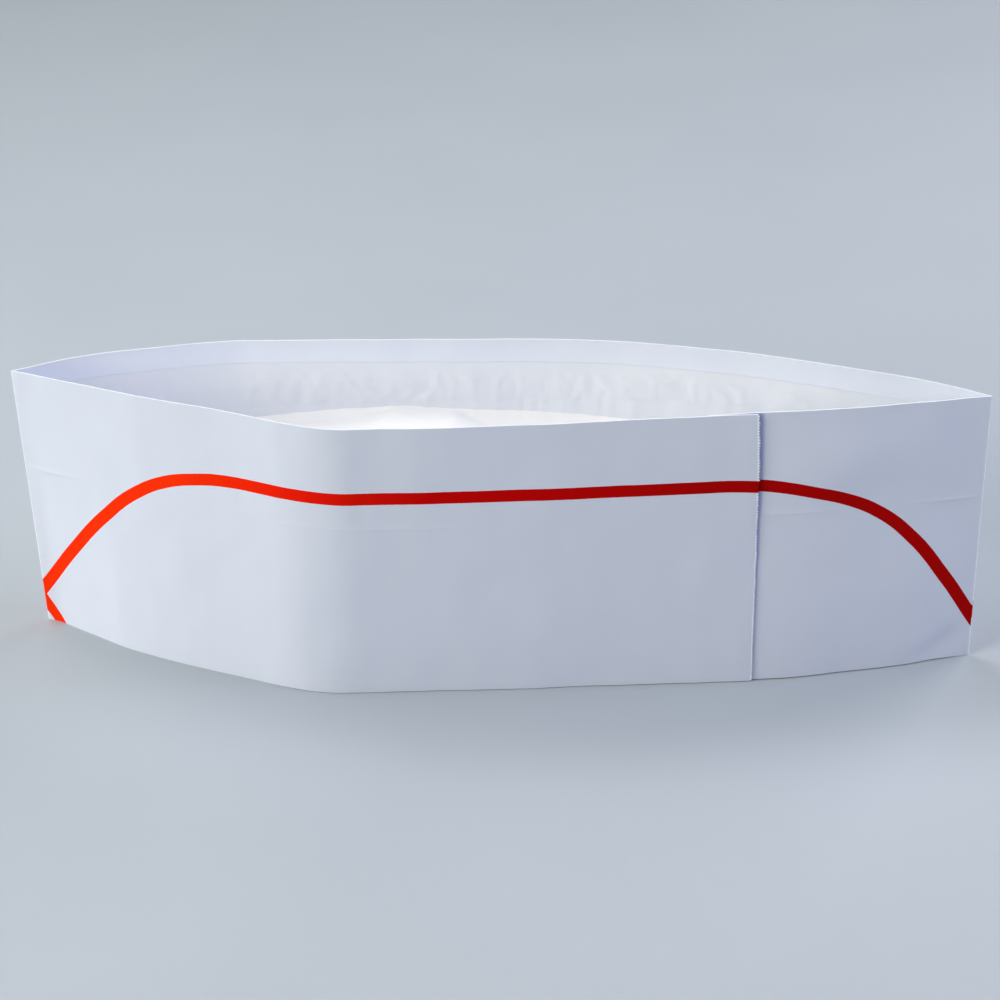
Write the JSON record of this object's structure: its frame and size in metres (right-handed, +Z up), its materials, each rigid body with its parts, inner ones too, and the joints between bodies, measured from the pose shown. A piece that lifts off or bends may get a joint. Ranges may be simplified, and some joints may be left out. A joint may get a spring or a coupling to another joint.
{
  "type": "paper overseas cap with tissue crown",
  "caption": "White disposable paper overseas cap for kitchen and counter staff, with pointed ends, a printed red line, a lapped seam and a tissue crown set inside.",
  "frame": {"origin": "centre of the cap's footprint, on the surface that its hem stands on", "axes": "+X from the left end crease to the right one as seen from the front, +Y from the front panel to the back panel, +Z up through the rim"},
  "size_m": [0.291, 0.0642, 0.089],
  "materials": {
    "strip_paper": "matt white paper with one red printed line",
    "crown_paper": "matt crinkled white tissue"
  },
  "bodies": {
    "root": {"band": "strip_paper", "crown_tissue": "crown_paper"}
  },
  "joints": []
}
